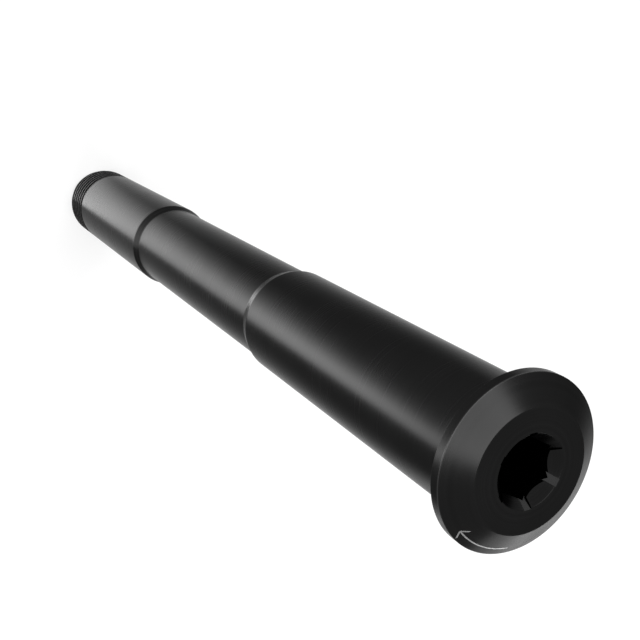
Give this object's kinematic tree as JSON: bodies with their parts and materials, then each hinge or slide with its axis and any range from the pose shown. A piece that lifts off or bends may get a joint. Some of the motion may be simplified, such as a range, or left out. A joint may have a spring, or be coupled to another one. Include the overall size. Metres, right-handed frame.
{
  "type": "bicycle thru axle",
  "caption": "Black turned thru axle with a flanged cone head, hexagon key socket, relieved middle and threaded hollow end, for holding a wheel in fork dropouts.",
  "frame": {"origin": "centre of the threaded tip's end face, which the axle stands on", "axes": "+Z along the axle from its threaded tip to its head; two flats of the key socket are square to X"},
  "size_m": [0.0192, 0.0192, 0.151],
  "materials": {
    "black_anodised": "satin black anodised"
  },
  "bodies": {
    "root": {"thru_axle": "black_anodised"}
  },
  "joints": []
}
